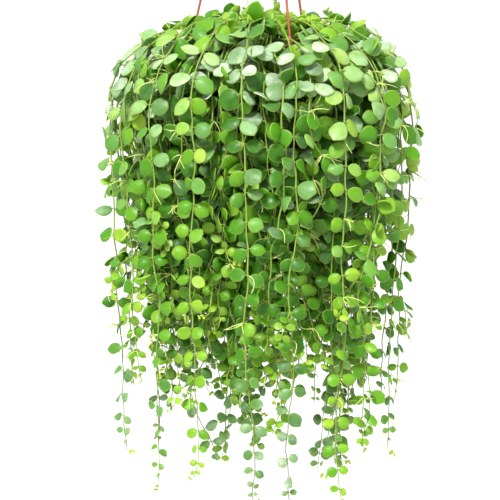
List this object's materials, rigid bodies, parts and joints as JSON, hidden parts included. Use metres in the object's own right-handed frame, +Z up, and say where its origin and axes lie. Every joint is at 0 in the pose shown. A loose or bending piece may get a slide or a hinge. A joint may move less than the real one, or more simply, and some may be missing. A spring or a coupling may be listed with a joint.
{
  "type": "potted string of nickels",
  "caption": "Hanging plastic pot on a three-strand hanger, with trailing stems of round fleshy leaves",
  "frame": {"origin": "seat inside the top of the hook, where it hangs", "axes": "+Z up, -Y towards the front that the picture shows, +X to its right"},
  "size_m": [0.3138, 0.3133, 0.7929],
  "materials": {
    "pot_plastic": "satin moulded",
    "hanger_plastic": "satin moulded",
    "potting_mix": "loose bark and fibre",
    "foliage": "waxy leaf"
  },
  "bodies": {
    "root": {"hanger_hook": "hanger_plastic", "hanger_strand_back": "hanger_plastic", "hanger_strand_front": "hanger_plastic", "hanger_strand_left": "hanger_plastic", "pot": "pot_plastic", "potting_mix": "potting_mix", "sprig_01": "foliage", "sprig_02": "foliage", "sprig_03": "foliage", "sprig_04": "foliage", "sprig_05": "foliage", "sprig_06": "foliage", "sprig_07": "foliage", "sprig_08": "foliage", "sprig_09": "foliage", "stem_inner_01": "foliage", "stem_inner_02": "foliage", "stem_inner_03": "foliage", "stem_inner_04": "foliage", "stem_inner_05": "foliage", "stem_inner_06": "foliage", "stem_middle_01": "foliage", "stem_middle_02": "foliage", "stem_middle_03": "foliage", "stem_middle_04": "foliage", "stem_middle_05": "foliage", "stem_middle_06": "foliage", "stem_middle_07": "foliage", "stem_middle_08": "foliage", "stem_middle_09": "foliage", "stem_middle_10": "foliage", "stem_middle_11": "foliage", "stem_middle_12": "foliage", "stem_outer_01": "foliage", "stem_outer_02": "foliage", "stem_outer_03": "foliage", "stem_outer_04": "foliage", "stem_outer_05": "foliage", "stem_outer_06": "foliage", "stem_outer_07": "foliage", "stem_outer_08": "foliage", "stem_outer_09": "foliage", "stem_outer_10": "foliage", "stem_outer_11": "foliage", "stem_outer_12": "foliage", "stem_outer_13": "foliage", "stem_outer_14": "foliage", "stem_outer_15": "foliage", "stem_outer_16": "foliage", "stem_outer_17": "foliage", "stem_outer_18": "foliage"}
  },
  "joints": []
}
